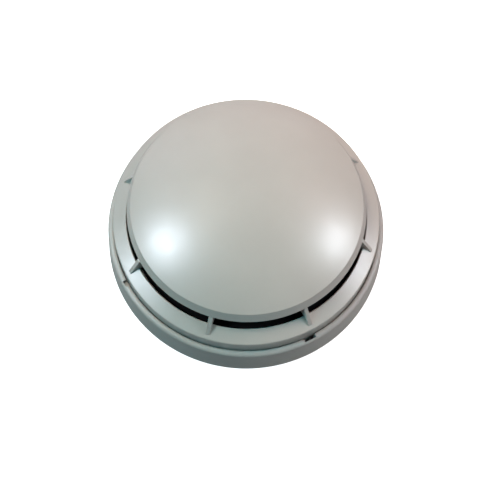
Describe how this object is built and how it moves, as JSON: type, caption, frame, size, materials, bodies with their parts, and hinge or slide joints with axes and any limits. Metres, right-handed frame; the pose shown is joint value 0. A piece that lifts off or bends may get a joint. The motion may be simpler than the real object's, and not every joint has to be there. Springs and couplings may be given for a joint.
{
  "type": "ceiling heat detector",
  "caption": "Round off-white ceiling heat detector: shallow domed cap over a finned air slot and collar, twisted into a tapered mounting base.",
  "frame": {"origin": "centre of the base's flat back face, which goes against the ceiling", "axes": "+Z out of the dome along the twist axis; the two fixing slots lie along X"},
  "size_m": [0.11, 0.11, 0.0468],
  "materials": {
    "ivory_cap": "moulded off-white ABS, fine satin texture",
    "ivory_base": "moulded off-white ABS, satin",
    "black_moulding": "black moulded plastic, matt",
    "spring_steel": "bright stainless strip",
    "screw_steel": "zinc-plated screw",
    "tinned_plate": "tinned pressed plate",
    "contact_brass": "nickel-brass contact blade",
    "board_laminate": "green glass-epoxy board with solder mask",
    "chip_black": "black moulded chip body",
    "capacitor_can": "aluminium can",
    "clear_plastic": "clear polycarbonate light pipe",
    "red_lens": "red LED lens",
    "bead_epoxy": "black epoxy bead on tinned leads",
    "reed_glass": "greenish glass tube"
  },
  "bodies": {
    "base": {"base_plate": "ivory_base", "contact_spring_1": "spring_steel", "contact_spring_2": "spring_steel", "contact_spring_3": "spring_steel", "contact_spring_4": "spring_steel", "terminal_clamp_1": "tinned_plate", "terminal_clamp_2": "tinned_plate", "terminal_clamp_3": "tinned_plate", "terminal_clamp_4": "tinned_plate", "terminal_screw_1": "screw_steel", "terminal_screw_2": "screw_steel", "terminal_screw_3": "screw_steel", "terminal_screw_4": "screw_steel"},
    "tamper_lock": {"tamper_lever": "ivory_base"},
    "head": {"chassis": "ivory_base", "dome_cap": "ivory_cap", "vented_collar": "ivory_cap", "sensor_cage": "black_moulding", "circuit_board": "board_laminate", "sensing_thermistor": "bead_epoxy", "reference_thermistor": "bead_epoxy", "alarm_led": "red_lens", "light_pipe": "clear_plastic", "microcontroller": "chip_black", "bridge_rectifier": "chip_black", "surge_suppressor": "chip_black", "output_transistor": "chip_black", "storage_capacitor_1": "capacitor_can", "storage_capacitor_2": "capacitor_can", "reed_switch": "reed_glass", "contact_blade_1": "contact_brass", "contact_blade_2": "contact_brass", "contact_blade_3": "contact_brass", "contact_blade_4": "contact_brass", "head_screw_1": "screw_steel", "head_screw_2": "screw_steel", "head_screw_3": "screw_steel"}
  },
  "joints": [
    {"name": "head_twist", "type": "hinge", "parent": "base", "child": "head", "pos_m": [0, 0, 0.01], "axis": [0, 0, 1], "range_deg": [0, 18]},
    {"name": "tamper_press", "type": "hinge", "parent": "base", "child": "tamper_lock", "pos_m": [0.0281, -0.04135, 0.0047], "axis": [0.5621, -0.8271, 0], "range_deg": [0, 5], "stiffness_Nm_per_rad": 0.05}
  ]
}
